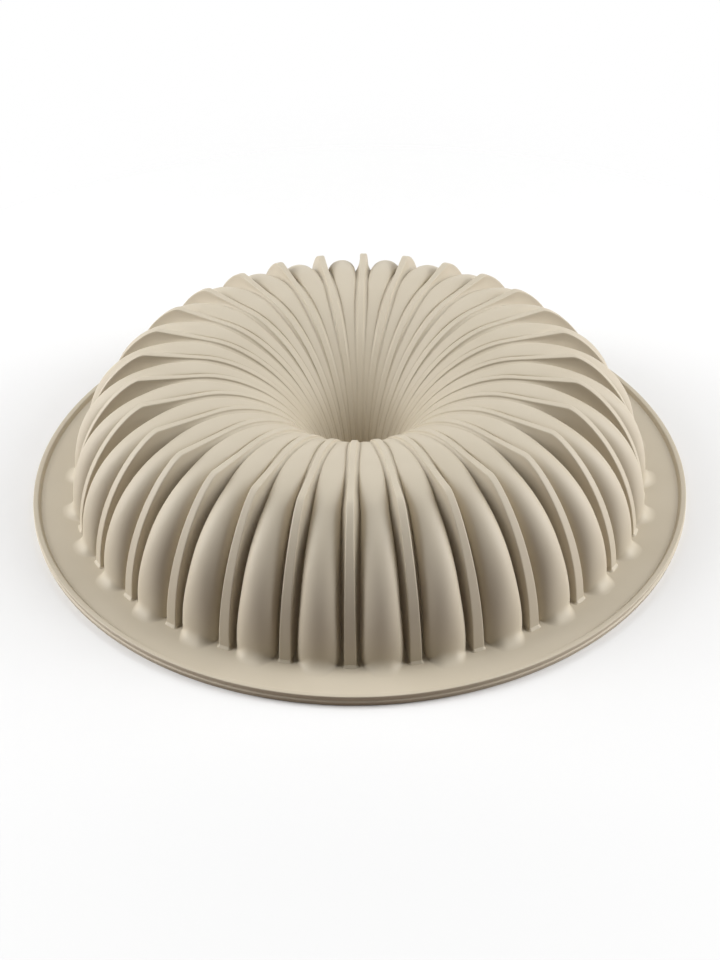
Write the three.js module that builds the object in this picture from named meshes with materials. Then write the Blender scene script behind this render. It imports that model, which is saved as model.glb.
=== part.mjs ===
// Silicone ring cake mould, standing upside down on its rim: thirty rounded flutes, each with a thin
// standing fin beside it, run from a flat flange over the crown and down into a ribbed funnel.
// Millimetres, +Z up. The origin is on the axis, on the surface that the rim stands on.
import * as THREE from 'three';

// Rim and flange
const RIM_RADIUS = 130;
const RIM_HEIGHT = 4.3;
const BEAD_WIDTH = 3.5;
const BEAD_CROWN_WIDTH = 1.5;
const BEAD_EDGE = 0.6;
const FLANGE_TOP = 2.9;
const FLANGE_THICKNESS = 2;
const SKIRT_RADIUS = 120;

// Flutes and fins
const FLUTES = 30;
const WALL = 2;
const FIN_TOP_AT_CROWN = 3;
const FIN_TOP_AT_FOOT = 4.6;
const FIN_BASE_AT_CROWN = 5.2;
const FIN_BASE_AT_FOOT = 5.8;
const LOBE_ROUNDNESS = 0.85;
const LOBE_SHOULDER = 0.4;
const FIN_TOE_SHARE = 0.4;

// Arch profiles: the radius of the foot, the two radii between which the crown is level, the crown's height,
// and the radius to which the funnel narrows at the bottom. Superellipses join them: on the side one power
// bends the way out and another the way up, and in the funnel one power bends both.
// ARCH_CENTRE is the radius of the middle of the arch.
const ARCH_CENTRE = 62;
const FIN_CREST = {
  foot: 113, crownOuter: 84, crownInner: 60, height: 56, throat: 10.4,
  outPower: 1.36, upPower: 1.98, funnelPower: 1.84,
};
const LOBE_CREST = {
  foot: 114.2, crownOuter: 68, crownInner: 62, height: 55.8, throat: 11.7,
  outPower: 1.92, upPower: 2.48, funnelPower: 1.86,
};
const CREASE = {
  foot: 107.2, crownOuter: 62, crownInner: 62, height: 55.2, throat: 12,
  outPower: 1.9, upPower: 2.2, funnelPower: 1.87,
};

// Funnel
const FUNNEL_SEAM_ANGLE = 136;
const PIT_FLOOR = 4;
const RIB_BASE_AT_AXIS = 2;
const RIB_BASE_GROWTH = 0.068;
const RIB_TOP_SHARE = 0.6;

// Gap between neighbouring pieces, and the facets of the rings
const SEAM = 0.3;
const RING_SEGMENTS = 60;

const SILICONE_COLOUR = 0xcfc3ab;
const SILICONE_ROUGHNESS = 0.55;

const PITCH = (2 * Math.PI) / FLUTES;
const FLANGE_BOTTOM = FLANGE_TOP - FLANGE_THICKNESS;
const radians = THREE.MathUtils.degToRad;
const mix = THREE.MathUtils.lerp;

// Stations along the arch, as angles about its centre: 0 points outwards, 90 up, 180 at the axis. One of
// them is the outer end of the fins' level crown.
const CROWN_CORNER = Math.atan2(FIN_CREST.height, FIN_CREST.crownOuter - ARCH_CENTRE);
const OUTER_STATIONS = [...[8, 22, 36, 50, 60].map(radians), CROWN_CORNER, ...[92, 108, 122].map(radians)];
const INNER_STATIONS = [114, 92, 72, 52, 30, 8].map(radians);
const FUNNEL_STATIONS = [146, 156, 166].map(radians);
const HALVINGS = 40;

// How far out a point lies in an arch profile: under 1 inside the arch, 1 on it.
function archLevel(profile, radius, height) {
  const up = height / profile.height;
  if (radius > profile.crownOuter) {
    const out = (radius - profile.crownOuter) / (profile.foot - profile.crownOuter);
    return out ** profile.outPower + up ** profile.upPower;
  }
  if (radius < profile.crownInner) {
    const inwards = (profile.crownInner - radius) / (profile.crownInner - profile.throat);
    return inwards ** profile.funnelPower + up ** profile.funnelPower;
  }
  return up;
}

// The point of an arch profile at an angle about the arch's centre, as x = radius and y = height.
function archPoint(profile, angle) {
  const direction = new THREE.Vector2(Math.cos(angle), Math.sin(angle));
  const centre = new THREE.Vector2(ARCH_CENTRE, 0);
  let near = 0;
  let far = RIM_RADIUS;
  for (let halving = 0; halving < HALVINGS; halving++) {
    const reach = (near + far) / 2;
    const point = centre.clone().addScaledVector(direction, reach);
    if (archLevel(profile, point.x, point.y) < 1) near = reach;
    else far = reach;
  }
  return centre.addScaledVector(direction, near);
}

// The same arch, moved in by one wall thickness: the side that the cake touches.
function innerProfile(profile) {
  return {
    ...profile,
    foot: profile.foot - WALL,
    height: profile.height - WALL,
    throat: profile.throat + WALL,
  };
}

// The profile at a share of the way from the crease to the crest of the lobe.
function betweenProfiles(share, angle, inner) {
  const low = inner ? innerProfile(CREASE) : CREASE;
  const high = inner ? innerProfile(LOBE_CREST) : LOBE_CREST;
  return archPoint(low, angle).lerp(archPoint(high, angle), share);
}

// Half the width of a fin where it leaves the crease, and at its top. On the side it widens towards the
// foot, and in the funnel it narrows with the radius.
function finHalfBase(point, angle) {
  const drop = 1 - point.y / FIN_CREST.height;
  const side = mix(FIN_BASE_AT_CROWN, FIN_BASE_AT_FOOT, drop);
  const funnel = Math.min(FIN_BASE_AT_CROWN, RIB_BASE_AT_AXIS + RIB_BASE_GROWTH * point.x);
  return (angle < Math.PI / 2 ? side : funnel) / 2;
}

function finHalfTop(point, angle) {
  const drop = 1 - point.y / FIN_CREST.height;
  if (angle < Math.PI / 2) return mix(FIN_TOP_AT_CROWN, FIN_TOP_AT_FOOT, drop) / 2;
  return RIB_TOP_SHARE * finHalfBase(point, angle);
}

// A point at a radius and height, set off sideways from the plane of the fin.
function besideFin(point, offset) {
  return new THREE.Vector3(point.x, offset, point.y);
}

// A point at a radius and height, turned about the axis.
function turned(point, angle) {
  return new THREE.Vector3(point.x * Math.cos(angle), point.x * Math.sin(angle), point.y);
}

// How high a lobe has risen at a share of the way from the crease to its middle.
function lobeRise(share) {
  return (1 - (1 - share) ** 2) ** LOBE_ROUNDNESS;
}

// One lengthwise outline of a flute: the flange skirt, the toe, the outside from foot to funnel, and back
// along the inside. The column gives the outside and inside profile at an angle, and places a point.
function fluteOutline(column) {
  const foot = column.outside(OUTER_STATIONS[0]);
  const toe = (foot.y - FLANGE_TOP) * column.toe;
  const end = radians(FUNNEL_SEAM_ANGLE);
  const outline = [];
  const put = (point, angle) => outline.push(column.place(point, angle));
  put(new THREE.Vector2(SKIRT_RADIUS, FLANGE_BOTTOM), 0);
  put(new THREE.Vector2(SKIRT_RADIUS, FLANGE_TOP), 0);
  put(new THREE.Vector2(foot.x + toe, FLANGE_TOP), 0);
  put(new THREE.Vector2(foot.x + toe * (1 - Math.SQRT1_2), mix(foot.y, FLANGE_TOP, Math.SQRT1_2)), 0);
  OUTER_STATIONS.forEach((angle) => put(column.outside(angle), angle));
  put(column.outside(end), end);
  put(column.inside(end), end);
  INNER_STATIONS.forEach((angle) => put(column.inside(angle), angle));
  put(new THREE.Vector2(column.inside(0).x, FLANGE_BOTTOM), 0);
  return outline;
}

// The columns of one flute across its width: the fin, the crease beside it, the lobe, and the next crease.
function fluteColumns() {
  const creaseInside = (angle) => archPoint(innerProfile(CREASE), angle);
  const crease = (angle) => archPoint(CREASE, angle);
  const crest = (angle) => archPoint(FIN_CREST, angle);
  const finSide = (side) => ({
    outside: crease,
    inside: creaseInside,
    toe: 1,
    place: (point, angle) => besideFin(point, side * finHalfBase(crease(angle), angle)),
  });
  const finEdge = (side) => ({
    outside: crest,
    inside: creaseInside,
    toe: FIN_TOE_SHARE,
    place: (point, angle) => besideFin(point, side * finHalfTop(crest(angle), angle)),
  });
  const lobe = (share, beyond) => ({
    outside: (angle) => betweenProfiles(lobeRise(share), angle, false),
    inside: (angle) => betweenProfiles(lobeRise(share), angle, true),
    toe: 1,
    place: (point, angle) => {
      const half = finHalfBase(crease(angle), angle);
      const near = Math.atan2(half, point.x);
      const far = PITCH - Math.atan2(half + SEAM, point.x);
      const across = beyond ? 1 - share / 2 : share / 2;
      return turned(point, mix(near, far, across));
    },
  });
  return [
    finSide(-1), finEdge(-1), finEdge(1), finSide(1),
    lobe(LOBE_SHOULDER, false), lobe(1, false), lobe(LOBE_SHOULDER, true), lobe(0, true),
  ];
}

// Joins a row of outlines, each with the same number of points, into triangles. Outlines run
// counter-clockwise in radius and height, and follow each other counter-clockwise about the axis.
function skin(outlines, closedRow, closedOutline) {
  const points = outlines[0].length;
  const rows = closedRow ? outlines.length : outlines.length - 1;
  const edges = closedOutline ? points : points - 1;
  const triangles = [];
  for (let row = 0; row < rows; row++) {
    const here = row * points;
    const next = ((row + 1) % outlines.length) * points;
    for (let edge = 0; edge < edges; edge++) {
      const after = (edge + 1) % points;
      triangles.push(here + edge, next + edge, next + after);
      triangles.push(here + edge, next + after, here + after);
    }
  }
  return triangles;
}

// The flat end of a row of outlines, as triangles of the outline that starts at an index.
function endCap(outline, start, facesBack) {
  const flat = outline.map((point) => new THREE.Vector2(Math.hypot(point.x, point.y), point.z));
  return THREE.ShapeUtils.triangulateShape(flat, []).flatMap(([a, b, c]) => {
    return (facesBack ? [a, b, c] : [a, c, b]).map((index) => start + index);
  });
}

function geometryOf(outlines, triangles) {
  const geometry = new THREE.BufferGeometry().setFromPoints(outlines.flat());
  geometry.setIndex(triangles);
  geometry.computeVertexNormals();
  return geometry;
}

// One flute with its fin, in the plane of +X.
function fluteGeometry() {
  const outlines = fluteColumns().map(fluteOutline);
  const last = outlines.length - 1;
  const triangles = [
    ...skin(outlines, false, true),
    ...endCap(outlines[0], 0, true),
    ...endCap(outlines[last], last * outlines[0].length, false),
  ];
  return geometryOf(outlines, triangles);
}

// The ribbed cone below the flutes, closed at its tip. Ribs and grooves alternate round it.
function funnelGeometry() {
  const start = radians(FUNNEL_SEAM_ANGLE) + SEAM / archPoint(CREASE, radians(FUNNEL_SEAM_ANGLE)).x;
  const angles = [start, ...FUNNEL_STATIONS];
  const outlines = [];
  for (let column = 0; column < 2 * FLUTES; column++) {
    const turn = (column * PITCH) / 2;
    const outside = column % 2 === 0 ? FIN_CREST : CREASE;
    const down = angles.map((angle) => archPoint(outside, angle));
    const back = angles.map((angle) => archPoint(innerProfile(CREASE), angle)).reverse();
    const floorEdge = new THREE.Vector2(outside.throat, PIT_FLOOR);
    const tipEdge = new THREE.Vector2(CREASE.throat + WALL, PIT_FLOOR - WALL);
    const axisTop = new THREE.Vector2(0, PIT_FLOOR);
    const axisBottom = new THREE.Vector2(0, PIT_FLOOR - WALL);
    const profile = [axisBottom, tipEdge, ...back, ...down, floorEdge, axisTop];
    outlines.push(profile.map((point) => turned(point, turn)));
  }
  return geometryOf(outlines, skin(outlines, true, false));
}

// A ring of one cross-section about +Z. The section runs counter-clockwise in radius and height.
function ringGeometry(section) {
  const points = [...section, section[0]].map(([radius, height]) => new THREE.Vector2(radius, height));
  const geometry = new THREE.LatheGeometry(points, RING_SEGMENTS);
  geometry.rotateX(Math.PI / 2);
  return geometry;
}

const BEAD_INNER = RIM_RADIUS - BEAD_WIDTH;

// The flat flange between the flutes' skirts and the bead.
function flangeGeometry() {
  const inner = (SKIRT_RADIUS + SEAM) / Math.cos(Math.PI / RING_SEGMENTS);
  const outer = BEAD_INNER - SEAM;
  return ringGeometry([
    [inner, FLANGE_BOTTOM],
    [outer, FLANGE_BOTTOM],
    [outer, FLANGE_TOP],
    [inner, FLANGE_TOP],
  ]);
}

// The thickened edge, which stands above the flange and reaches below it to the surface.
function rimBeadGeometry() {
  const crownInner = RIM_RADIUS - BEAD_EDGE - BEAD_CROWN_WIDTH;
  return ringGeometry([
    [BEAD_INNER + BEAD_EDGE, 0],
    [RIM_RADIUS - BEAD_EDGE, 0],
    [RIM_RADIUS, BEAD_EDGE],
    [RIM_RADIUS, RIM_HEIGHT - BEAD_EDGE],
    [RIM_RADIUS - BEAD_EDGE, RIM_HEIGHT],
    [crownInner, RIM_HEIGHT],
    [BEAD_INNER, FLANGE_TOP],
    [BEAD_INNER, FLANGE_BOTTOM],
  ]);
}

// A piece of the mould: its mesh, with a silicone finish of its own.
function piece(name, geometry) {
  const material = new THREE.MeshStandardMaterial({
    color: SILICONE_COLOUR,
    roughness: SILICONE_ROUGHNESS,
    metalness: 0,
  });
  const mesh = new THREE.Mesh(geometry, material);
  mesh.name = name;
  return mesh;
}

const mould = new THREE.Group();
mould.add(piece('rim_bead', rimBeadGeometry()));
mould.add(piece('flange', flangeGeometry()));

// The first fin stands at the front, on -Y, and the ribs of the funnel carry on from the fins.
const fluted = new THREE.Group();
fluted.rotation.z = -Math.PI / 2;
fluted.add(piece('funnel', funnelGeometry()));
mould.add(fluted);

// Flutes count counter-clockwise from the front.
for (let index = 0; index < FLUTES; index++) {
  const flute = piece(`flute_${String(index + 1).padStart(2, '0')}`, fluteGeometry());
  flute.rotation.z = index * PITCH;
  fluted.add(flute);
}

export default mould;
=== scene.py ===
"""Dresses a silicone ring cake mould that stands upside down on its rim.

The mould is one moulding, and its pieces meet in the creases between its fins and flutes. Each surface is a
grid worked out with numpy in millimetres. Lengthwise, the grid follows an arch that rises from the flange,
goes over the crown and comes down in the funnel. Crosswise, it goes over a fin and then over a flute.
"""

import logging
import math
from collections.abc import Callable
from dataclasses import dataclass, field, replace
from enum import Enum

import bpy
import numpy as np
from mathutils import Matrix, Vector


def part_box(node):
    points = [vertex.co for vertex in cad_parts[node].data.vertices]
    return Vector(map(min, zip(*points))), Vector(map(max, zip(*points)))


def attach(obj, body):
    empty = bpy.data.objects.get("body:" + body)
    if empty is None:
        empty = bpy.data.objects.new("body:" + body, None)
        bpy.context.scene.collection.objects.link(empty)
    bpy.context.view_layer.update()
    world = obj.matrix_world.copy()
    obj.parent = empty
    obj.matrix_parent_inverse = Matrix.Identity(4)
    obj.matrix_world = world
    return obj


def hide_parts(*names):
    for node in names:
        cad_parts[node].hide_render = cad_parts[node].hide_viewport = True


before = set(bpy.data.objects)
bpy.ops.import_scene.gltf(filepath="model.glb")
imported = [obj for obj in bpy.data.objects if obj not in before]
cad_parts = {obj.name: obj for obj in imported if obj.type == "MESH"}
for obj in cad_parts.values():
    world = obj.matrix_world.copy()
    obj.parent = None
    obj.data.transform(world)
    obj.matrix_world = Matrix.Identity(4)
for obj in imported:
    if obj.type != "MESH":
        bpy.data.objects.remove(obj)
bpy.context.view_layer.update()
LOG = logging.getLogger("ring_mould")

MM = 0.001
ARCH_CENTRE = 62.0
SKIRT_RADIUS = 120.0
LONGEST_REACH = 90.0
HALVINGS = 40
SHARP_ANGLE = math.radians(38.0)


class Surface(Enum):
    """The two sides of the mould's wall."""

    OUTSIDE = "outside"
    CAKE_SIDE = "cake side"


def smooth_step(value: np.ndarray) -> np.ndarray:
    """Eases a value from 0 to 1 with level ends: 3 v squared less 2 v cubed, held between 0 and 1.

    Args:
        value: The values to ease.

    Returns:
        The eased values.
    """
    held = np.clip(value, 0.0, 1.0)
    return held * held * (3.0 - 2.0 * held)


def node_top(node: str) -> float:
    """Height of a CAD node's highest point, in millimetres."""
    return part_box(node)[1].z / MM


def node_bottom(node: str) -> float:
    """Height of a CAD node's lowest point, in millimetres."""
    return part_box(node)[0].z / MM


@dataclass(frozen=True)
class Grid:
    """A grid of points in millimetres and the quads or triangles that join them."""

    points: np.ndarray
    faces: list[list[int]]

    def turned(self, angle: float) -> "Grid":
        """The same grid, turned about the mould's axis by an angle in radians."""
        cosine, sine = math.cos(angle), math.sin(angle)
        turn = np.array([[cosine, -sine, 0.0], [sine, cosine, 0.0], [0.0, 0.0, 1.0]])
        return Grid(self.points @ turn.T, self.faces)


def quads(rows: int, columns: int, wrap_rows: bool, wrap_columns: bool) -> np.ndarray:
    """Corner indices of the quads of a grid whose points are stored row by row.

    Args:
        rows: Number of rows.
        columns: Number of points in a row.
        wrap_rows: Whether the last row joins the first.
        wrap_columns: Whether the last column joins the first.

    Returns:
        One line of four indices for each quad. A quad faces the side from which rows run up and columns
        run to the right.
    """
    row = np.arange(rows if wrap_rows else rows - 1)[:, None]
    column = np.arange(columns if wrap_columns else columns - 1)[None, :]
    row_after = (row + 1) % rows
    column_after = (column + 1) % columns
    corners = (
        row * columns + column,
        row * columns + column_after,
        row_after * columns + column_after,
        row_after * columns + column,
    )
    return np.stack([np.broadcast_to(c, (row.size, column.size)) for c in corners], -1).reshape(-1, 4)


def dress(name: str, grid: Grid, material: bpy.types.Material, node: str) -> bpy.types.Object:
    """Makes a smooth mesh piece from a grid and lets it stand for a CAD node.

    Args:
        name: The piece's name.
        grid: Its points in millimetres and its faces.
        material: Its finish.
        node: The CAD node that it stands for.

    Returns:
        The new object, at the origin, riding on the mould's one body.
    """
    mesh = bpy.data.meshes.new(name)
    mesh.from_pydata(grid.points * MM, [], grid.faces)
    mesh.polygons.foreach_set("use_smooth", np.ones(len(mesh.polygons), dtype=bool))
    mesh.set_sharp_from_angle(angle=SHARP_ANGLE)
    mesh.materials.append(material)
    piece = bpy.data.objects.new(name, mesh)
    bpy.context.scene.collection.objects.link(piece)
    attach(piece, "root")
    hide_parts(node)
    LOG.info("%s: %d faces, stands for %s", name, len(mesh.polygons), node)
    return piece


@dataclass(frozen=True)
class Arch:
    """One lengthwise profile of the mould: a level crown between two superellipse quarters.

    The outer quarter comes down to the foot, the inner one to the throat of the funnel. Radii are measured
    from the mould's axis, the height from the surface that it stands on.
    """

    foot: float
    height: float
    throat: float
    out_power: float
    up_power: float
    funnel_power: float
    crown_outer: float = ARCH_CENTRE
    crown_inner: float = ARCH_CENTRE

    def level(self, radius: np.ndarray, height: np.ndarray) -> np.ndarray:
        """How far out points lie, under 1 inside the arch.

        Past the level crown it is the share of the way out to a power, plus the share of the height to a
        power. The funnel has the same power for both.

        Args:
            radius: Distances from the mould's axis.
            height: Heights.

        Returns:
            The levels, 1 on the profile.
        """
        up = np.clip(height / self.height, 0.0, None)
        out = np.clip((radius - self.crown_outer) / (self.foot - self.crown_outer), 0.0, None)
        inwards = np.clip((self.crown_inner - radius) / (self.crown_inner - self.throat), 0.0, None)
        side = out**self.out_power + up**self.up_power
        funnel = inwards**self.funnel_power + up**self.funnel_power
        crown = np.where(radius < self.crown_inner, funnel, up)
        return np.where(radius > self.crown_outer, side, crown)

    def reach(self, angle: np.ndarray) -> np.ndarray:
        """Distance from the arch's centre to the profile, found by halving.

        Args:
            angle: Directions about the arch's centre: 0 outwards, a right angle up, two to the axis.

        Returns:
            The distances, one for each direction.
        """
        near = np.zeros_like(angle)
        far = np.full_like(angle, LONGEST_REACH)
        for _ in range(HALVINGS):
            middle = (near + far) / 2.0
            inside = self.level(ARCH_CENTRE + middle * np.cos(angle), middle * np.sin(angle)) < 1.0
            near = np.where(inside, middle, near)
            far = np.where(inside, far, middle)
        return (near + far) / 2.0

    def lined(self, wall: float) -> "Arch":
        """The same arch, one wall thickness further in."""
        return replace(self, foot=self.foot - wall, height=self.height - wall, throat=self.throat + wall)


@dataclass(frozen=True)
class Columns:
    """Where each column of a grid lies between the middle of a fin and the middle of the flute beside it.

    Every column has five shares. The first three go over the fin: how much of the way from its edge to the
    middle of its top, round the edge and up the side. The last two go over the flute: across the floor of
    the groove beside the fin, and from there to the middle of the flute.
    """

    over_top: np.ndarray
    round_edge: np.ndarray
    up_side: np.ndarray
    across_floor: np.ndarray
    swell: np.ndarray

    @classmethod
    def laid_out(
        cls, top: list[float], edge: list[float], side: list[float], floor: list[float], swell: list[float]
    ) -> "Columns":
        """Lays out the columns, stretch by stretch, from the middle of the fin outwards.

        Args:
            top: Falling shares over the top, from 1 at the fin's middle.
            edge: Falling shares round the edge, from 1 to 0.
            side: Falling shares up the side, to 0 at the foot of the fin.
            floor: Rising shares across the groove's floor, to 1.
            swell: Rising shares over the flute, to 1 at its middle.

        Returns:
            The columns of half a pitch.
        """
        stretches = (top, edge, side, floor, swell)
        sizes = [len(stretch) for stretch in stretches]
        before = (0.0, 1.0, 1.0, 0.0, 0.0)
        after = (0.0, 0.0, 0.0, 1.0, 0.0)
        shares = []
        for index, stretch in enumerate(stretches):
            lead = np.full(sum(sizes[:index]), before[index])
            trail = np.full(sum(sizes[index + 1:]), after[index])
            shares.append(np.concatenate([lead, np.array(stretch), trail]))
        return cls(*shares)

    @property
    def count(self) -> int:
        """Number of columns in half a pitch."""
        return self.swell.size

    @property
    def at_front(self) -> np.ndarray:
        """How near columns are to a fin's front: 0 up to the middle of its side, 1 from its edge on."""
        return smooth_step(self.up_side * 2.0 - 1.0)

    @property
    def on_fin(self) -> np.ndarray:
        """True for the columns over the fin, up to the foot of its side."""
        return self.across_floor == 0.0


def evenly(count: int) -> np.ndarray:
    """Numbers from 0 to 1 in equal steps."""
    return np.linspace(0.0, 1.0, count)


@dataclass
class FlutedBody:
    """The flutes, the fins between them and the funnel: one fluted surface, cut into pieces.

    The first fin stands on -Y, and the flutes are counted counter-clockwise from it. Half a pitch, from the
    middle of a fin to the middle of a flute, is worked out with the fin's plane on +X and then mirrored.
    """

    count: int = 30
    wall: float = 2.0
    crown: float = field(default_factory=lambda: node_top("flute_01"))
    flange_top: float = field(default_factory=lambda: node_top("flange"))
    flange_bottom: float = field(default_factory=lambda: node_bottom("flange"))
    skirt_radius: float = SKIRT_RADIUS
    seam_angle: float = math.radians(136.0)
    flute_drop: float = 0.2
    crease_drop: float = 1.25

    fin_side: float = 1.2
    fin_draft: float = 0.11
    fin_side_at_foot: float = 0.6
    fin_flare: float = 2.4
    rib_base_at_axis: float = 1.7
    rib_base_growth: float = 0.07
    rib_top_share: float = 0.57
    rib_share_of_pitch: float = 0.8

    fin_top_at_crown: float = 2.2
    fin_top_at_foot: float = 4.7
    fin_top_power: float = 0.75
    fin_edge: float = 0.5
    fin_edge_share: float = 0.45
    least_fin: float = 0.3

    groove_at_crown: float = 0.02
    groove_at_foot: float = 0.03
    power_on_crown: float = 0.3
    power_on_wall: float = 0.44
    power_at_foot: float = 0.28
    foot_zone: tuple[float, float] = (math.radians(36.0), math.radians(6.0))
    crown_zone: tuple[float, float] = (math.radians(65.0), math.radians(85.0))
    rib_fading: tuple[float, float] = (math.radians(106.0), math.radians(144.0))
    crease_fading: tuple[float, float] = (math.radians(92.0), math.radians(130.0))
    faded_relief: float = 0.12

    flute_toe: float = 4.4
    flute_toe_swell: float = 0.75
    slot_toe: float = 0.3
    slot_fillet: float = 6.0
    fin_toe: float = 0.8
    fin_edge_toe: float = 0.55
    fin_pad_step: float = 0.2
    lip: float = 0.08
    gate_step: float = 0.3
    mouth_swell: float = 0.2
    lining_shift: float = 0.9
    strip_share_of_pitch: float = 0.97
    lining_toe: float = 1.2

    pit_floor: float = 4.0
    pit_fillet: float = 3.0
    pit_floor_rings: tuple[float, ...] = (0.6, 0.2)

    swell_columns: int = 14
    swell_crowding: float = 2.0
    arch_rows: int = 100
    toe_rows: int = 7
    funnel_rows: int = 20
    pit_rows: int = 6

    def __post_init__(self) -> None:
        """Works out the arches, the pitch and the columns from the sizes."""
        self.pitch = 2.0 * math.pi / self.count
        self.fin_crest = Arch(
            foot=113.0,
            height=self.crown,
            throat=10.4,
            out_power=1.36,
            up_power=1.98,
            funnel_power=1.84,
            crown_outer=84.0,
            crown_inner=60.0,
        )
        self.flute_crest = Arch(
            foot=114.2,
            height=self.crown - self.flute_drop,
            throat=11.7,
            out_power=1.92,
            up_power=2.48,
            funnel_power=1.86,
            crown_outer=68.0,
        )
        self.crease = Arch(
            foot=107.2,
            height=self.crown - self.crease_drop,
            throat=12.0,
            out_power=1.86,
            up_power=2.16,
            funnel_power=1.88,
        )
        self.columns = Columns.laid_out(
            top=[1.0, 0.15],
            edge=[1.0, 0.75, 0.5, 0.25, 0.0],
            side=[0.94, 0.75, 0.55, 0.4, 0.27, 0.16, 0.07, 0.0],
            floor=[0.5, 1.0],
            swell=list(evenly(self.swell_columns)[1:] ** self.swell_crowding),
        )

    def reaches(self, angle: np.ndarray, wall: float = 0.0) -> tuple[np.ndarray, np.ndarray, np.ndarray]:
        """Distances from the arch's centre to the crease, to the flutes' crest and to the fins' crest.

        Down the funnel the crease and the fins draw near to the flutes, so that the relief fades.

        Args:
            angle: Directions about the arch's centre.
            wall: How far the surface lies inside the outside of the mould.

        Returns:
            The three distances.
        """
        rib_relief = self.relief(angle, self.rib_fading)
        crease_relief = self.relief(angle, self.crease_fading)
        flute = self.flute_crest.lined(wall).reach(angle)
        crease = flute + (np.minimum(self.crease.lined(wall).reach(angle), flute) - flute) * crease_relief
        fin = flute + (self.fin_crest.lined(wall).reach(angle) - flute) * rib_relief
        return crease, flute, np.maximum(fin, crease + self.least_fin * rib_relief)

    def relief(self, angle: np.ndarray, zone: tuple[float, float]) -> np.ndarray:
        """Share of the relief that is left while it fades over a zone of directions.

        Args:
            angle: Directions about the arch's centre.
            zone: The directions between which the relief fades.

        Returns:
            The shares, from 1 before the zone to the faded relief past it.
        """
        faded = smooth_step((angle - zone[0]) / (zone[1] - zone[0]))
        return 1.0 - (1.0 - self.faded_relief) * faded

    def fin_widths(self, angle: np.ndarray) -> tuple[np.ndarray, np.ndarray]:
        """Half widths of the fins at their base and at their top.

        The top widens towards the foot: its width at the crown plus a growth times a power of the drop. Each
        side takes up a least width plus a draft times the fin's height, and a share of that at the foot. In
        the funnel the base narrows with the radius, and the top is at most a share of the base.

        Args:
            angle: Directions about the arch's centre.

        Returns:
            Half the width at the base and half the width at the top.
        """
        crease, _, crest = self.reaches(angle)
        radius = ARCH_CENTRE + crease * np.cos(angle)
        drop = np.clip(1.0 - crease * np.sin(angle) / self.crown, 0.0, 1.0)
        growth = self.fin_top_at_foot - self.fin_top_at_crown
        top = self.fin_top_at_crown + growth * drop**self.fin_top_power
        side = self.fin_side + self.fin_draft * (crest - crease)
        side = side * (1.0 - (1.0 - self.fin_side_at_foot) * self.near_foot(angle))
        rib = self.rib_base_at_axis + self.rib_base_growth * radius
        rib = np.minimum(rib, self.rib_share_of_pitch * radius * self.pitch)
        in_funnel = angle > math.pi / 2.0
        base = np.where(in_funnel, np.minimum(top + 2.0 * side, rib), top + 2.0 * side)
        top = np.where(in_funnel, np.minimum(top, self.rib_top_share * base), top)
        return base / 2.0, top / 2.0

    def near_foot(self, angle: np.ndarray) -> np.ndarray:
        """How far directions have come from the wall, at 0, to the foot, at 1."""
        foot_from, foot_to = self.foot_zone
        return smooth_step((foot_from - angle) / (foot_from - foot_to))

    def on_crown(self, angle: np.ndarray) -> np.ndarray:
        """How far directions have come from the wall, at 0, to the crown and the funnel, at 1."""
        crown_from, crown_to = self.crown_zone
        return smooth_step((angle - crown_from) / (crown_to - crown_from))

    def over_fin(self, angle: np.ndarray) -> np.ndarray:
        """Points over a fin, which has flaring sides, rounded edges and a flat top.

        Each side flares at its base: its distance from the edge is the base's distance times a power of the
        way that is left to the edge. The edge is a quadratic curve whose middle point is the corner between
        the upright part of the side and the top, so that it is tangent to both.

        Args:
            angle: Directions about the arch's centre, one line for each row and one value for each column.

        Returns:
            The points, with the fin's plane on +X.
        """
        columns = self.columns
        crease, _, crest = self.reaches(angle)
        tall = crest - crease
        half_base, half_top = self.fin_widths(angle)
        edge = np.minimum(self.fin_edge, self.fin_edge_share * np.minimum(tall, half_top))
        edge_height = tall - edge
        up, turn, over = columns.up_side, columns.round_edge, columns.over_top
        side_width = half_top + (half_base - half_top) * (1.0 - up) ** self.fin_flare
        left = 1.0 - turn
        round_width = half_top - turn**2 * edge
        width = np.where(up < 1.0, side_width, round_width) - over * (half_top - edge)
        height = np.where(up < 1.0, up * edge_height, left**2 * edge_height + (1.0 - left**2) * tall)
        reach = crease + height
        return np.stack([ARCH_CENTRE + reach * np.cos(angle), width, reach * np.sin(angle)], -1)

    def under_fin(self, angle: np.ndarray) -> np.ndarray:
        """Points of the plain strip on the cake side behind a fin.

        Args:
            angle: Directions about the arch's centre, one line for each row and one value for each column.

        Returns:
            The points, with the fin's plane on +X.
        """
        low = self.reaches(angle, self.wall)[0]
        along = ARCH_CENTRE + low * np.cos(angle)
        spread = np.cumsum(self.columns.on_fin) - 1.0
        half = self.strip_width(angle, along) * np.minimum(spread / spread.max(), 1.0)
        return np.stack([along, half, low * np.sin(angle)], -1)

    def strip_width(self, angle: np.ndarray, along: np.ndarray) -> np.ndarray:
        """Half the width of the strip behind a fin, which leaves room for the wall of the flutes.

        Args:
            angle: Directions about the arch's centre.
            along: Radii of the strip.

        Returns:
            The half widths.
        """
        half = self.fin_widths(angle)[0] + self.lining_shift
        return np.minimum(half, self.strip_share_of_pitch * along * math.tan(self.pitch / 2.0))

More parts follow.
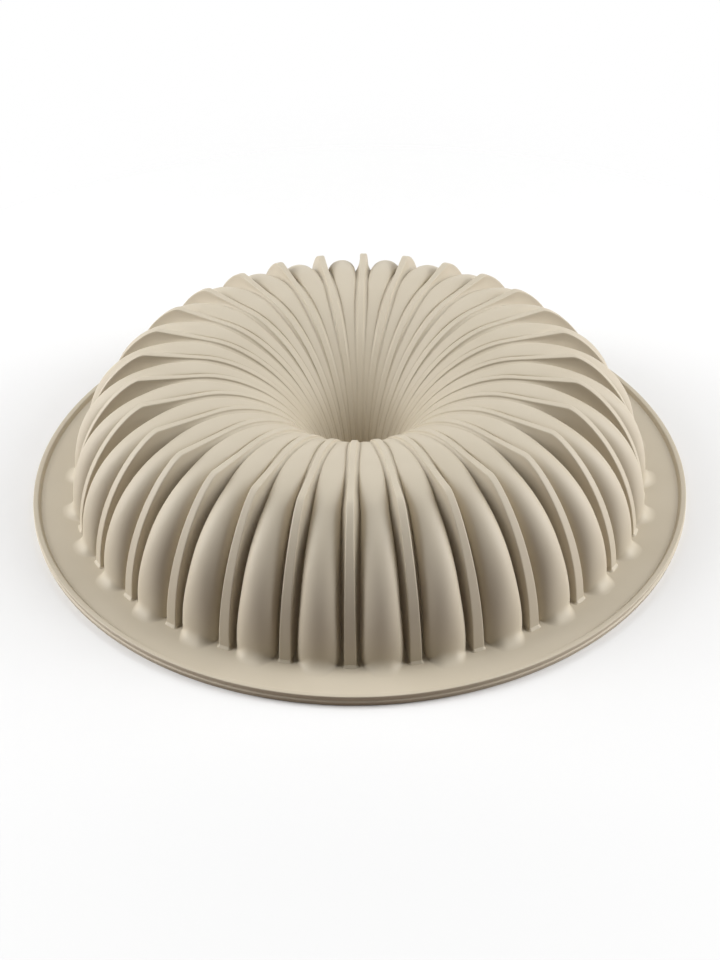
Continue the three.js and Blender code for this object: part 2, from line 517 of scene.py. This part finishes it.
    def groove(self, angle: np.ndarray, side: Surface) -> tuple[np.ndarray, np.ndarray]:
        """How wide the groove beside a fin is, and how steeply the flute rises from it.

        Args:
            angle: Directions about the arch's centre.
            side: Which side of the wall is meant. The cake side has no grooves.

        Returns:
            The share of the way to the flute's middle that the groove's floor takes, and the power of the
            flute's rounding: a half is an ellipse, and less is flatter with a steeper flank.
        """
        if side is Surface.CAKE_SIDE:
            return np.full_like(angle, self.groove_at_crown), np.full_like(angle, self.power_on_wall)
        low = self.near_foot(angle)
        floor = self.groove_at_crown + (self.groove_at_foot - self.groove_at_crown) * low
        power = self.power_on_wall + (self.power_at_foot - self.power_on_wall) * low
        return floor, power + (self.power_on_crown - power) * self.on_crown(angle)

    def over_flute(self, angle: np.ndarray, side: Surface) -> np.ndarray:
        """Points from the foot of a fin to the middle of the flute.

        Past the groove's floor, the share of the rise is 1 less the square of what is left of the way to
        the middle, to a power.

        Args:
            angle: Directions about the arch's centre, one line for each row and one value for each column.
            side: Which side of the wall the points are on.

        Returns:
            The points, with the plane of the fin on +X.
        """
        lined = side is Surface.CAKE_SIDE
        wall = self.wall if lined else 0.0
        low, high, _ = self.reaches(angle, wall)
        along = ARCH_CENTRE + low * np.cos(angle)
        if lined:
            half_base = self.strip_width(angle, along)
        else:
            half_base = self.fin_widths(angle)[0]
        crease_radius = np.hypot(along, half_base)
        crease_turn = np.arctan2(half_base, along)
        floor, power = self.groove(angle, side)
        swell = self.columns.swell
        risen = (1.0 - (1.0 - swell) ** 2) ** power
        share = floor * self.columns.across_floor + (1.0 - floor) * swell
        radius = crease_radius + (ARCH_CENTRE + high * np.cos(angle) - crease_radius) * risen
        height = (low + (high - low) * risen) * np.sin(angle)
        turn = crease_turn + (self.pitch / 2.0 - crease_turn) * share
        return np.stack([radius * np.cos(turn), radius * np.sin(turn), height], -1)

    def wall_points(self, angle: np.ndarray, side: Surface) -> np.ndarray:
        """Points of half a pitch of the wall, on one of its sides.

        Args:
            angle: Directions about the arch's centre, one line for each row and one value for each column.
            side: Which side of the wall the points are on.

        Returns:
            The points, with the fin's plane on +X.
        """
        fin = self.over_fin(angle) if side is Surface.OUTSIDE else self.under_fin(angle)
        return np.where(self.columns.on_fin[None, :, None], fin, self.over_flute(angle, side))

    def whole_pitch(self, half: np.ndarray) -> np.ndarray:
        """Mirrors half a pitch about the fin's plane and about the flute's.

        Args:
            half: Rows of points from the middle of a fin to the middle of a flute.

        Returns:
            Rows of points from the crease before the fin to the crease past the flute.
        """
        crease = int(self.columns.on_fin.sum()) - 1
        cosine, sine = math.cos(self.pitch), math.sin(self.pitch)
        about_fin = np.diag([1.0, -1.0, 1.0])
        about_flute = np.array([[cosine, sine, 0.0], [sine, -cosine, 0.0], [0.0, 0.0, 1.0]])
        before = half[:, crease:0:-1] @ about_fin
        past = half[:, -2:crease - 1:-1] @ about_flute.T
        return np.concatenate([before, half, past], axis=1)

    def angle_where(
        self,
        target: Callable[[np.ndarray], np.ndarray],
        side: Surface,
        low: float = 0.0,
        high: float = math.pi / 4.0,
    ) -> np.ndarray:
        """Directions in which the wall reaches a target height, found by halving.

        Args:
            target: Gives each column's target height from the points where the columns are.
            side: Which side of the wall is meant.
            low: The direction of the search's lower end.
            high: The direction of its upper end.

        Returns:
            One direction for each column.
        """
        near = np.full(self.columns.count, low)
        far = np.full(self.columns.count, high)
        for _ in range(HALVINGS):
            middle = (near + far) / 2.0
            points = self.wall_points(middle[None, :], side)[0]
            below = points[:, 2] < target(points)
            near = np.where(below, middle, near)
            far = np.where(below, far, middle)
        return (near + far) / 2.0

    def plan_normals(self, contour: np.ndarray) -> np.ndarray:
        """Level outward normals of the foot's outline, which is mirrored at both of its ends.

        Args:
            contour: The outline's points, one for each column.

        Returns:
            Unit vectors in plan, one for each column.
        """
        cosine, sine = math.cos(self.pitch), math.sin(self.pitch)
        plan = contour[:, :2]
        before = plan[1] * (1.0, -1.0)
        after = np.array([[cosine, sine], [sine, -cosine]]) @ plan[-2]
        padded = np.vstack([before, plan, after])
        along = padded[2:] - padded[:-2]
        normal = np.stack([along[:, 1], -along[:, 0]], -1)
        return normal / np.linalg.norm(normal, axis=1, keepdims=True)

    def toe_sizes(self) -> tuple[np.ndarray, np.ndarray, np.ndarray]:
        """How each column meets the flange.

        Returns:
            The toe's radius, how far it is a straight chamfer rather than a round fillet, and the height
            of the pad's edge on the flange. Fins stand on a low chamfered pad, flutes have a round toe.
        """
        columns = self.columns
        chamfer = np.where(columns.on_fin, columns.round_edge, 0.0)
        side = self.slot_toe + (self.fin_edge_toe - self.slot_toe) * columns.at_front
        fin = side + (self.fin_toe - self.fin_edge_toe) * chamfer
        flute = self.slot_toe + self.flute_toe * smooth_step(columns.swell / self.flute_toe_swell)
        step = np.where(columns.on_fin, self.fin_pad_step * columns.at_front, 0.0)
        return np.where(columns.on_fin, fin, flute), chamfer, step

    def in_slot(self) -> np.ndarray:
        """How far each column ends on the floor of the slot between a fin and a flute, from 0 to 1."""
        columns = self.columns
        beside_flute = 1.0 - smooth_step(columns.swell / self.mouth_swell)
        return np.where(columns.on_fin, 1.0 - columns.at_front, beside_flute)

    def slot_floor(self, plan: np.ndarray, mouth: np.ndarray) -> np.ndarray:
        """Height of the slot's floor, a quarter circle that leaves the flange level at the slot's mouth.

        Args:
            plan: Points in plan, one for each column in their last but one direction.
            mouth: Radius of the mouth, one for each column.

        Returns:
            The heights.
        """
        inside = np.clip(mouth - np.linalg.norm(plan, axis=-1), 0.0, self.slot_fillet)
        return self.flange_top + self.slot_fillet - np.sqrt(self.slot_fillet**2 - inside**2)

    def landings(self) -> np.ndarray:
        """Where the columns come down on the flange.

        Fins and flutes land one toe before their wall. The columns in a slot come out through its mouth,
        evenly spread on a straight line between the fin's pad and the flute's toe.

        Returns:
            The points in plan, one for each column.
        """
        columns = self.columns
        toe, _, step = self.toe_sizes()
        start = self.angle_where(lambda points: self.flange_top + step + toe, Surface.OUTSIDE)
        top = self.wall_points(start[None, :], Surface.OUTSIDE)[0]
        landing = top[:, :2] + (toe + self.lip)[:, None] * self.plan_normals(top)
        first = int(np.flatnonzero(columns.up_side == 1.0)[-1])
        last = int(np.flatnonzero(columns.swell >= self.mouth_swell)[0])
        mouth = landing[last] - landing[first]
        landing[first:last + 1] = landing[first] + evenly(last + 1 - first)[:, None] * mouth
        return landing

    def outside_foot(self) -> tuple[np.ndarray, np.ndarray]:
        """The rows from the skirt's edge in over the flange and up to the top of the toe.

        A toe leaves the flange level and turns up into the wall along a quarter circle or a chamfer, and
        the columns in a slot rise with its floor.

        Returns:
            The rows of points, from the skirt inwards and up, and the directions in which the arch begins.
        """
        toe, chamfer, step = self.toe_sizes()
        slot = self.in_slot()
        landing = self.landings()
        mouth = np.linalg.norm(landing, axis=1)

        def target(points: np.ndarray) -> np.ndarray:
            """Height at which each column leaves the wall."""
            toe_top = self.flange_top + step + toe
            return slot * self.slot_floor(points[:, :2], mouth) + (1.0 - slot) * toe_top

        start = self.angle_where(target, Surface.OUTSIDE)
        way = self.wall_points(start[None, :], Surface.OUTSIDE)[0, :, :2] - landing
        share = evenly(self.toe_rows)[:-1, None]
        turn = share * math.pi / 2.0
        inwards = np.sin(turn) * (1.0 - chamfer) + share * chamfer
        up = (1.0 - np.cos(turn)) * (1.0 - chamfer) + share * chamfer
        lip = self.lip / np.linalg.norm(way, axis=1)
        plan = landing + way * (lip + inwards * (1.0 - lip))[..., None]
        height = slot * self.slot_floor(plan, mouth) + (1.0 - slot) * (self.flange_top + step + up * toe)
        toe_rows = np.concatenate([plan, height[..., None]], -1)
        outwards = landing / mouth[:, None]
        flat = np.stack([outwards * self.skirt_radius, landing + outwards * self.gate_step, landing])
        level = np.full(flat.shape[:2] + (1,), self.flange_top)
        return np.concatenate([np.concatenate([flat, level], -1), toe_rows]), start

    def cake_side_foot(self, skirt: np.ndarray, rows: int) -> tuple[np.ndarray, np.ndarray]:
        """The rows on the cake side, from the skirt's underside to the top of the rounded inner edge.

        Args:
            skirt: The points of the skirt's upper edge.
            rows: The number of rows to make.

        Returns:
            The rows of points, from the skirt inwards and up, and the directions in which the arch begins.
        """
        start = self.angle_where(lambda points: self.flange_bottom + self.lining_toe, Surface.CAKE_SIDE)
        top = self.wall_points(start[None, :], Surface.CAKE_SIDE)[0]
        turn = evenly(rows)[:-1, None] * math.pi / 2.0
        radial = top[:, :2] / np.linalg.norm(top[:, :2], axis=1, keepdims=True)
        plan = top[None, :, :2] + (self.lining_toe * (1.0 - np.sin(turn)))[..., None] * radial[None]
        level = self.flange_bottom + self.lining_toe * (1.0 - np.cos(turn))
        rounded = np.concatenate([plan, np.broadcast_to(level[..., None], plan.shape[:2] + (1,))], -1)
        edge = skirt.copy()
        edge[:, 2] = self.flange_bottom
        return np.concatenate([edge[None], rounded]), start

    def arch_angles(self, start: np.ndarray) -> np.ndarray:
        """Directions of the arch's rows, from the foot to the seam with the funnel.

        Args:
            start: The direction in which each column begins.

        Returns:
            One line for each row and one value for each column.
        """
        share = evenly(self.arch_rows)[:, None]
        return start[None, :] * (1.0 - share) + self.seam_angle * share

    def flute_grid(self) -> Grid:
        """One flute with its fin, closed all round, with the fin's plane on +X.

        Returns:
            A grid of closed lengthwise loops. The loops' ends at the two creases are closed by strips
            that join the outside to the cake side.
        """
        outer_foot, outer_start = self.outside_foot()
        inner_foot, inner_start = self.cake_side_foot(outer_foot[0], len(outer_foot))
        outer = self.wall_points(self.arch_angles(outer_start), Surface.OUTSIDE)
        inner = self.wall_points(self.arch_angles(inner_start), Surface.CAKE_SIDE)
        loop = self.whole_pitch(np.concatenate([outer_foot, outer, inner[::-1], inner_foot[::-1]]))
        rows, columns = loop.shape[:2]
        shell = quads(rows, columns, wrap_rows=True, wrap_columns=False)
        pair = np.arange(rows // 2 - 1)[:, None]
        strip = np.hstack([pair, pair + 1, rows - 2 - pair, rows - 1 - pair]) * columns
        ends = np.vstack([strip, strip[:, ::-1] + columns - 1])
        return Grid(loop.reshape(-1, 3), np.vstack([shell, ends]).tolist())

    def funnel_wall(self, side: Surface, floor: float, fillet: float) -> np.ndarray:
        """Rows of half a pitch of the funnel, from the seam down to the floor and in towards the axis.

        Args:
            side: Which side of the wall the rows are on.
            floor: Height of the floor, or of the tip's underside.
            fillet: Radius of the round between wall and floor.

        Returns:
            The rows of points, the first of them the flutes' last row.
        """
        end = self.angle_where(lambda points: floor + fillet, side, math.pi, self.seam_angle)
        share = evenly(self.funnel_rows)[:, None]
        wall = self.wall_points(self.seam_angle * (1.0 - share) + end[None, :] * share, side)
        low = wall[-1, :, :2]
        turn = evenly(self.pit_rows)[1:, None] * math.pi / 2.0
        radius = np.linalg.norm(low, axis=1)
        rounded = radius[None, :] - fillet * (1.0 - np.cos(turn))
        flat = rounded[-1:] * np.array(self.pit_floor_rings)[:, None]
        plan = low[None] * (np.concatenate([rounded, flat]) / radius[None, :])[..., None]
        level = np.concatenate([floor + fillet * (1.0 - np.sin(turn)), np.full((len(flat), 1), floor)])
        pit = np.concatenate([plan, np.broadcast_to(level[..., None], plan.shape[:2] + (1,))], -1)
        return np.concatenate([wall, pit])

    def funnel_grid(self) -> Grid:
        """The ribbed cone below the flutes, with its rounded pit floor, closed all round.

        Returns:
            A grid of rings from the middle of the tip up the cake side to the seam, and down into the
            pit to the middle of its floor, with a fan at each end.
        """
        outer_rows = self.funnel_wall(Surface.OUTSIDE, self.pit_floor, self.pit_fillet)
        tip = self.pit_floor - self.wall
        inner_rows = self.funnel_wall(Surface.CAKE_SIDE, tip, self.pit_fillet + self.wall)
        loop = self.whole_pitch(np.concatenate([inner_rows[::-1], outer_rows]))[:, :-1]
        turns = np.arange(self.count)[:, None, None] * self.pitch
        x = loop[None, ..., 0] * np.cos(turns) - loop[None, ..., 1] * np.sin(turns)
        y = loop[None, ..., 0] * np.sin(turns) + loop[None, ..., 1] * np.cos(turns)
        z = np.broadcast_to(loop[None, ..., 2], x.shape)
        rings = np.stack([x, y, z], -1).transpose(1, 0, 2, 3).reshape(loop.shape[0], -1, 3)
        rows, columns = rings.shape[:2]
        shell = quads(rows, columns, wrap_rows=False, wrap_columns=True)
        poles = np.array([[0.0, 0.0, tip], [0.0, 0.0, self.pit_floor]])
        here = np.arange(columns)
        after = (here + 1) % columns
        last = (rows - 1) * columns
        tip_fan = np.stack([after, here, np.full(columns, rows * columns)], -1)
        floor_fan = np.stack([last + here, last + after, np.full(columns, rows * columns + 1)], -1)
        points = np.vstack([rings.reshape(-1, 3), poles])
        return Grid(points, shell.tolist() + tip_fan.tolist() + floor_fan.tolist())

    def build(self, material: bpy.types.Material) -> None:
        """Makes the flutes and the funnel and dresses them.

        Args:
            material: Their finish.
        """
        front = -math.pi / 2.0
        flute = self.flute_grid()
        for index in range(self.count):
            number = f"{index + 1:02d}"
            turned = flute.turned(front + index * self.pitch)
            dress(f"moulded_flute_{number}", turned, material, f"flute_{number}")
        dress("moulded_funnel", self.funnel_grid().turned(front), material, "funnel")


@dataclass
class Rim:
    """The flat flange and the thickened bead round its edge."""

    radius: float = field(default_factory=lambda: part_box("rim_bead")[1].x / MM)
    height: float = field(default_factory=lambda: node_top("rim_bead"))
    flange_top: float = field(default_factory=lambda: node_top("flange"))
    flange_bottom: float = field(default_factory=lambda: node_bottom("flange"))
    skirt_radius: float = SKIRT_RADIUS
    bead_width: float = 3.1
    bead_slope: float = 1.05
    inner_edge: float = 0.25
    outer_edge: float = 0.55
    bottom_edge: float = 0.3
    parting_height: float = 1.75
    parting_depth: float = 0.45
    parting_draft: float = 0.3
    segments: int = 720
    arc_steps: int = 6

    def rounded(self, corner: np.ndarray, before: np.ndarray, after: np.ndarray, size: float) -> np.ndarray:
        """Rounds a corner of an outline with a curve that is tangent to both of its sides.

        Args:
            corner: The corner.
            before: The point before it.
            after: The point after it.
            size: How far from the corner the rounding starts.

        Returns:
            Points along a quadratic curve from one side to the other.
        """
        start = corner + (before - corner) / np.linalg.norm(before - corner) * size
        end = corner + (after - corner) / np.linalg.norm(after - corner) * size
        share = evenly(self.arc_steps)[:, None]
        return start * (1.0 - share) ** 2 + 2.0 * corner * share * (1.0 - share) + end * share**2

    def outline(self, corners: list[tuple[float, float, float]]) -> np.ndarray:
        """An outline from corners, each with the size of its rounding.

        Args:
            corners: Radius, height and rounding of each corner, counter-clockwise.

        Returns:
            The points of the outline.
        """
        points = np.array([corner[:2] for corner in corners])
        parts = []
        for index, (_, _, size) in enumerate(corners):
            before = points[index - 1]
            after = points[(index + 1) % len(corners)]
            if size > 0.0:
                parts.append(self.rounded(points[index], before, after, size))
            else:
                parts.append(points[index:index + 1])
        return np.concatenate(parts)

    def ring(self, outline: np.ndarray) -> Grid:
        """Carries a closed outline round the mould's axis.

        Args:
            outline: Radii and heights, counter-clockwise.

        Returns:
            A closed ring.
        """
        turn = np.linspace(0.0, 2.0 * math.pi, self.segments, endpoint=False)
        radius = outline[:, 0][:, None]
        height = np.broadcast_to(outline[:, 1][:, None], (len(outline), self.segments))
        points = np.stack([radius * np.cos(turn), radius * np.sin(turn), height], -1)
        faces = quads(len(outline), self.segments, wrap_rows=True, wrap_columns=True)
        return Grid(points.reshape(-1, 3), faces.tolist())

    def build(self, material: bpy.types.Material) -> None:
        """Makes the flange and the bead and dresses them.

        Args:
            material: Their finish.
        """
        inner = self.radius - self.bead_width
        drawn_in = self.radius - self.parting_draft
        above_parting = self.parting_height + self.parting_depth
        bead = self.outline([
            (inner, 0.0, self.bottom_edge),
            (drawn_in, 0.0, self.bottom_edge),
            (self.radius, self.parting_height, 0.0),
            (self.radius - self.parting_depth, above_parting, 0.0),
            (self.radius, self.height, self.outer_edge),
            (inner + self.bead_slope, self.height, self.inner_edge),
            (inner, self.flange_top, 0.0),
        ])
        flange = self.outline([
            (self.skirt_radius, self.flange_bottom, 0.0),
            (inner, self.flange_bottom, 0.0),
            (inner, self.flange_top, 0.0),
            (self.skirt_radius, self.flange_top, 0.0),
        ])
        dress("moulded_rim_bead", self.ring(bead), material, "rim_bead")
        dress("moulded_flange", self.ring(flange), material, "flange")


@dataclass(frozen=True)
class SiliconeFinish:
    """Matte beige silicone: a fine eggshell skin with faint cloudiness."""

    name: str = "matte_silicone"
    colour: tuple[float, float, float] = (0.60, 0.535, 0.425)
    cloud_colour: tuple[float, float, float] = (0.565, 0.50, 0.39)
    cloud_scale: float = 28.0
    cloud_detail: float = 4.0
    cloud_edges: tuple[float, float] = (0.3, 0.7)
    roughness: float = 0.52
    roughness_spread: float = 0.08
    grain_scale: float = 2600.0
    grain_detail: float = 2.0
    grain_strength: float = 0.05
    grain_depth: float = 0.0002
    specular: float = 0.4

    def material(self) -> bpy.types.Material:
        """Builds the finish from nodes that read Object coordinates.

        Returns:
            The material.
        """
        made = bpy.data.materials.new(self.name)
        made.use_nodes = True
        nodes, links = made.node_tree.nodes, made.node_tree.links
        skin = nodes["Principled BSDF"]
        skin.inputs["Specular IOR Level"].default_value = self.specular
        place = nodes.new("ShaderNodeTexCoord")
        cloud = nodes.new("ShaderNodeTexNoise")
        cloud.inputs["Scale"].default_value = self.cloud_scale
        cloud.inputs["Detail"].default_value = self.cloud_detail
        links.new(place.outputs["Object"], cloud.inputs["Vector"])
        tint = nodes.new("ShaderNodeValToRGB")
        tint.color_ramp.elements[0].position = self.cloud_edges[0]
        tint.color_ramp.elements[0].color = (*self.cloud_colour, 1.0)
        tint.color_ramp.elements[1].position = self.cloud_edges[1]
        tint.color_ramp.elements[1].color = (*self.colour, 1.0)
        links.new(cloud.outputs["Fac"], tint.inputs["Fac"])
        links.new(tint.outputs["Color"], skin.inputs["Base Color"])
        rough = nodes.new("ShaderNodeMapRange")
        rough.inputs["To Min"].default_value = self.roughness - self.roughness_spread
        rough.inputs["To Max"].default_value = self.roughness + self.roughness_spread
        links.new(cloud.outputs["Fac"], rough.inputs["Value"])
        links.new(rough.outputs["Result"], skin.inputs["Roughness"])
        grain = nodes.new("ShaderNodeTexNoise")
        grain.inputs["Scale"].default_value = self.grain_scale
        grain.inputs["Detail"].default_value = self.grain_detail
        links.new(place.outputs["Object"], grain.inputs["Vector"])
        bump = nodes.new("ShaderNodeBump")
        bump.inputs["Strength"].default_value = self.grain_strength
        bump.inputs["Distance"].default_value = self.grain_depth
        links.new(grain.outputs["Fac"], bump.inputs["Height"])
        links.new(bump.outputs["Normal"], skin.inputs["Normal"])
        return made


@dataclass(frozen=True)
class Softbox:
    """A square area lamp that looks at the mould."""

    name: str
    place: tuple[float, float, float]
    power: float
    size: float = 0.7

    def build(self) -> None:
        """Hangs the lamp in the scene."""
        lamp = bpy.data.lights.new(self.name, "AREA")
        lamp.size = self.size
        lamp.energy = self.power
        hung = bpy.data.objects.new(self.name, lamp)
        hung.location = self.place
        hung.rotation_euler = (-Vector(self.place)).to_track_quat("-Z", "Y").to_euler()
        bpy.context.scene.collection.objects.link(hung)


@dataclass
class Studio:
    """The pale floor, the soft lamps, the world and the camera."""

    floor_half: float = 6.0
    floor_colour: tuple[float, float, float] = (0.95, 0.95, 0.95)
    floor_bounce: tuple[float, float, float] = (0.38, 0.3, 0.26)
    fade_start: float = 0.14
    fade_end: float = 0.36
    world_light: float = 0.01
    world_seen: float = 1.0
    lamps: tuple[Softbox, ...] = (
        Softbox("left_high", (-0.63, 0.17, 1.13), power=4.0),
        Softbox("right_high", (0.63, 0.17, 1.13), power=4.0),
        Softbox("left_middle", (-1.06, -0.06, 0.75), power=7.8),
        Softbox("right_middle", (1.06, -0.06, 0.75), power=7.8),
        Softbox("left_low", (-1.26, 0.15, 0.27), power=7.8),
        Softbox("right_low", (1.26, 0.15, 0.27), power=7.8),
        Softbox("back_low", (0.0, 1.27, 0.27), power=0.8),
    )

    camera_distance: float = 0.8106
    camera_azimuth: float = math.radians(2.245)
    camera_elevation: float = math.radians(37.21)
    camera_roll: float = math.radians(-1.024)
    lens: float = 75.55
    image_height: float = 960.0
    shift_pixels: tuple[float, float] = (-0.58, 2.3)

    @staticmethod
    def direct_ray(tree: bpy.types.NodeTree) -> bpy.types.NodeSocket:
        """Adds nodes that tell the rays that show a thing from those that only carry its light.

        Args:
            tree: The node tree of a material or of the world.

        Returns:
            A socket that is 1 for camera, glossy and transmission rays, and 0 for the others.
        """
        nodes, links = tree.nodes, tree.links
        path = nodes.new("ShaderNodeLightPath")
        mirrored = nodes.new("ShaderNodeMath")
        mirrored.operation = "MAXIMUM"
        links.new(path.outputs["Is Glossy Ray"], mirrored.inputs[0])
        links.new(path.outputs["Is Transmission Ray"], mirrored.inputs[1])
        direct = nodes.new("ShaderNodeMath")
        direct.operation = "MAXIMUM"
        links.new(path.outputs["Is Camera Ray"], direct.inputs[0])
        links.new(mirrored.outputs["Value"], direct.inputs[1])
        return direct.outputs["Value"]

    def floor(self) -> None:
        """Lays the pale floor on which the rim stands, and lets it fade into the white world."""
        half = self.floor_half
        mesh = bpy.data.meshes.new("floor")
        corners = [(-half, -half, 0.0), (half, -half, 0.0), (half, half, 0.0), (-half, half, 0.0)]
        mesh.from_pydata(corners, [], [(0, 1, 2, 3)])
        paint = bpy.data.materials.new("pale_floor")
        paint.use_nodes = True
        nodes, links = paint.node_tree.nodes, paint.node_tree.links
        nodes.remove(nodes["Principled BSDF"])
        seen = nodes.new("ShaderNodeBsdfDiffuse")
        seen.inputs["Color"].default_value = (*self.floor_colour, 1.0)
        bounce = nodes.new("ShaderNodeBsdfDiffuse")
        bounce.inputs["Color"].default_value = (*self.floor_bounce, 1.0)
        place = nodes.new("ShaderNodeTexCoord")
        far = nodes.new("ShaderNodeVectorMath")
        far.operation = "LENGTH"
        links.new(place.outputs["Object"], far.inputs[0])
        fade = nodes.new("ShaderNodeMapRange")
        fade.interpolation_type = "SMOOTHSTEP"
        fade.inputs["From Min"].default_value = self.fade_start
        fade.inputs["From Max"].default_value = self.fade_end
        links.new(far.outputs["Value"], fade.inputs["Value"])
        clear = nodes.new("ShaderNodeBsdfTransparent")
        shown = nodes.new("ShaderNodeMixShader")
        links.new(fade.outputs["Result"], shown.inputs["Fac"])
        links.new(seen.outputs["BSDF"], shown.inputs[1])
        links.new(clear.outputs["BSDF"], shown.inputs[2])
        choose = nodes.new("ShaderNodeMixShader")
        links.new(self.direct_ray(paint.node_tree), choose.inputs["Fac"])
        links.new(bounce.outputs["BSDF"], choose.inputs[1])
        links.new(shown.outputs["Shader"], choose.inputs[2])
        links.new(choose.outputs["Shader"], nodes["Material Output"].inputs["Surface"])
        mesh.materials.append(paint)
        floor = bpy.data.objects.new("floor", mesh)
        bpy.context.scene.collection.objects.link(floor)

    def world(self) -> None:
        """Fills the surroundings with an even white that is seen in full and lights the mould faintly."""
        world = bpy.data.worlds.new("studio")
        world.use_nodes = True
        nodes, links = world.node_tree.nodes, world.node_tree.links
        sky = nodes["Background"]
        sky.inputs["Color"].default_value = (1.0, 1.0, 1.0, 1.0)
        strength = nodes.new("ShaderNodeMapRange")
        strength.inputs["To Min"].default_value = self.world_light
        strength.inputs["To Max"].default_value = self.world_seen
        links.new(self.direct_ray(world.node_tree), strength.inputs["Value"])
        links.new(strength.outputs["Result"], sky.inputs["Strength"])
        bpy.context.scene.world = world

    def camera(self) -> None:
        """Sets up the camera at the photograph's viewing angle, with its slight roll."""
        azimuth, elevation = self.camera_azimuth, self.camera_elevation
        back = Vector((
            math.sin(azimuth) * math.cos(elevation),
            -math.cos(azimuth) * math.cos(elevation),
            math.sin(elevation),
        ))
        level = Vector((math.cos(azimuth), math.sin(azimuth), 0.0))
        upright = back.cross(level)
        right = level * math.cos(self.camera_roll) + upright * math.sin(self.camera_roll)
        up = upright * math.cos(self.camera_roll) - level * math.sin(self.camera_roll)
        data = bpy.data.cameras.new("camera")
        data.lens = self.lens
        data.shift_x = -self.shift_pixels[0] / self.image_height
        data.shift_y = self.shift_pixels[1] / self.image_height
        camera = bpy.data.objects.new("camera", data)
        turn = Matrix((right, up, back)).transposed().to_4x4()
        camera.matrix_world = Matrix.Translation(back * self.camera_distance) @ turn
        bpy.context.scene.collection.objects.link(camera)
        bpy.context.scene.camera = camera

    def build(self) -> None:
        """Sets up everything round the mould."""
        self.floor()
        self.world()
        for lamp in self.lamps:
            lamp.build()
        self.camera()
        bpy.context.scene.view_settings.view_transform = "Standard"


def main() -> None:
    """Builds the mould's pieces and the studio round them."""
    logging.basicConfig(level=logging.INFO)
    silicone = SiliconeFinish().material()
    FlutedBody().build(silicone)
    Rim().build(silicone)
    Studio().build()


if __name__ == "__main__":
    main()
